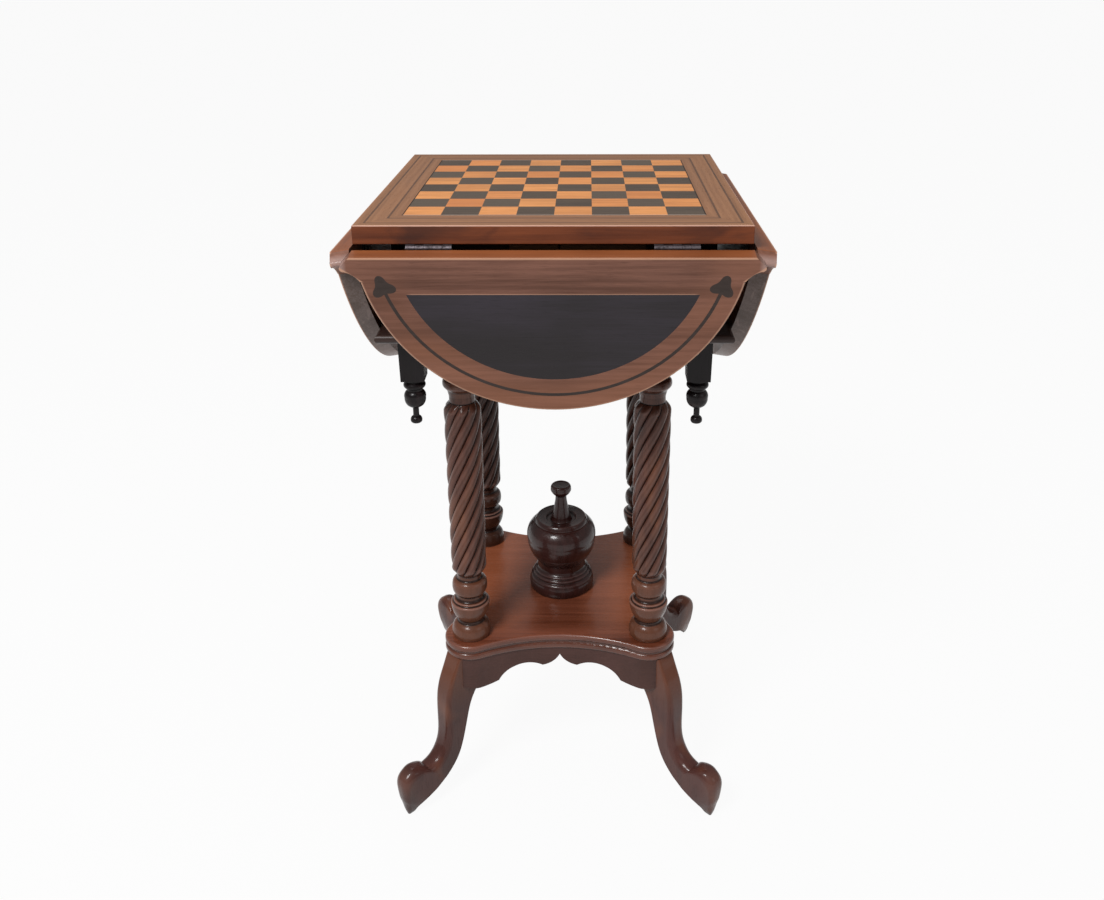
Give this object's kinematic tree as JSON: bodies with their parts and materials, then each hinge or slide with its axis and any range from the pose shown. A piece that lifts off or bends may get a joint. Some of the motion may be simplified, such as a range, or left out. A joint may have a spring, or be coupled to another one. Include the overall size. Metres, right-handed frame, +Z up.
{
  "type": "chess table",
  "caption": "Small square chess table with an inlaid lift-out board, drop leaves on all sides, twisted columns, a shelf with a lidded urn, and scrolled legs.",
  "frame": {"origin": "on the floor under the middle of the top", "axes": "+Z up, front towards -Y, +X to the right seen from the front"},
  "size_m": [0.458, 0.458, 0.766],
  "materials": {
    "top_frame_wood": "polished",
    "leaf_wood": "polished",
    "ebony": "polished",
    "string_wood": "polished",
    "steel": "worn",
    "box_wood": "waxed",
    "stand_wood": "lacquered",
    "ebonised_wood": "lacquered",
    "light_veneer": "polished",
    "dark_veneer": "polished",
    "urn_wood": "lacquered"
  },
  "bodies": {
    "table": {"top_rail_front": "top_frame_wood", "box_rail_front": "box_wood", "skirt_front": "stand_wood", "top_rail_right": "top_frame_wood", "box_rail_right": "box_wood", "skirt_right": "stand_wood", "top_rail_back": "top_frame_wood", "box_rail_back": "box_wood", "skirt_back": "stand_wood", "top_rail_left": "top_frame_wood", "box_rail_left": "box_wood", "skirt_left": "stand_wood", "corner_post_front_left": "ebonised_wood", "column_front_left": "stand_wood", "leg_front_left": "stand_wood", "corner_post_front_right": "ebonised_wood", "column_front_right": "stand_wood", "leg_front_right": "stand_wood", "corner_post_back_right": "ebonised_wood", "column_back_right": "stand_wood", "leg_back_right": "stand_wood", "corner_post_back_left": "ebonised_wood", "column_back_left": "stand_wood", "leg_back_left": "stand_wood", "top_strings": "string_wood", "box_floor": "box_wood", "fly_brackets": "box_wood", "fly_bracket_blocks": "box_wood", "leg_dowels": "box_wood", "hinge_table_plates": "steel", "hinge_pins": "steel", "hinge_table_screws": "steel", "fly_bracket_pins": "steel", "floor_moulding": "top_frame_wood", "shelf": "stand_wood", "urn": "urn_wood"},
    "chess_board": {"board_core": "box_wood", "light_squares": "light_veneer", "dark_squares": "dark_veneer"},
    "lid": {"urn_lid": "urn_wood"},
    "leaf_front": {"leaf_front": "leaf_wood", "leaf_panel_front": "ebony", "leaf_inlay_front": "string_wood", "hinge_leaf_plates_front": "steel", "hinge_leaf_screws_front": "steel"},
    "leaf_right": {"leaf_right": "leaf_wood", "leaf_panel_right": "ebony", "leaf_inlay_right": "string_wood", "hinge_leaf_plates_right": "steel", "hinge_leaf_screws_right": "steel"},
    "leaf_back": {"leaf_back": "leaf_wood", "leaf_panel_back": "ebony", "leaf_inlay_back": "string_wood", "hinge_leaf_plates_back": "steel", "hinge_leaf_screws_back": "steel"},
    "leaf_left": {"leaf_left": "leaf_wood", "leaf_panel_left": "ebony", "leaf_inlay_left": "string_wood", "hinge_leaf_plates_left": "steel", "hinge_leaf_screws_left": "steel"}
  },
  "joints": [
    {"name": "leaf_front_hinge", "type": "hinge", "parent": "table", "child": "leaf_front", "pos_m": [0, -0.2053, 0.742], "axis": [-1, 0, 0], "range_deg": [0, 99]},
    {"name": "leaf_right_hinge", "type": "hinge", "parent": "table", "child": "leaf_right", "pos_m": [0.2053, 0, 0.742], "axis": [0, -1, 0], "range_deg": [0, 99]},
    {"name": "leaf_back_hinge", "type": "hinge", "parent": "table", "child": "leaf_back", "pos_m": [0, 0.2053, 0.742], "axis": [1, 0, 0], "range_deg": [0, 99]},
    {"name": "leaf_left_hinge", "type": "hinge", "parent": "table", "child": "leaf_left", "pos_m": [-0.2053, 0, 0.742], "axis": [0, 1, 0], "range_deg": [0, 99]},
    {"name": "board_lift", "type": "slide", "parent": "table", "child": "chess_board", "axis": [0, 0, 1], "range_m": [0, 0.15]},
    {"name": "lid_lift", "type": "slide", "parent": "table", "child": "lid", "axis": [0, 0, 1], "range_m": [0, 0.08]}
  ]
}
